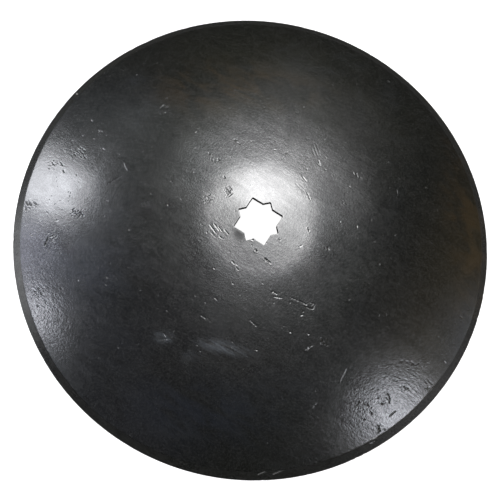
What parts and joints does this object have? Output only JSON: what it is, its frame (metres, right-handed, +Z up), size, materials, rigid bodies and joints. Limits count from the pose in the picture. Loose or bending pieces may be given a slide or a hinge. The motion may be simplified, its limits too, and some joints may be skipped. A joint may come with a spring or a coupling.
{
  "type": "harrow disc blade",
  "caption": "Dished round steel harrow disc with a ground bevel edge and an eight-point star axle hole, painted black.",
  "frame": {"origin": "centre of the mouth, on the surface that the disc lies on", "axes": "+Z up along the dish's own axis, towards the dome; X and Y square to the flats of the larger square of the axle hole"},
  "size_m": [0.457, 0.457, 0.0606],
  "materials": {
    "black_paint": "semi-gloss black paint over hot-pressed steel plate, with small dents, pits and scratches"
  },
  "bodies": {
    "root": {"disc_blade": "black_paint"}
  },
  "joints": []
}
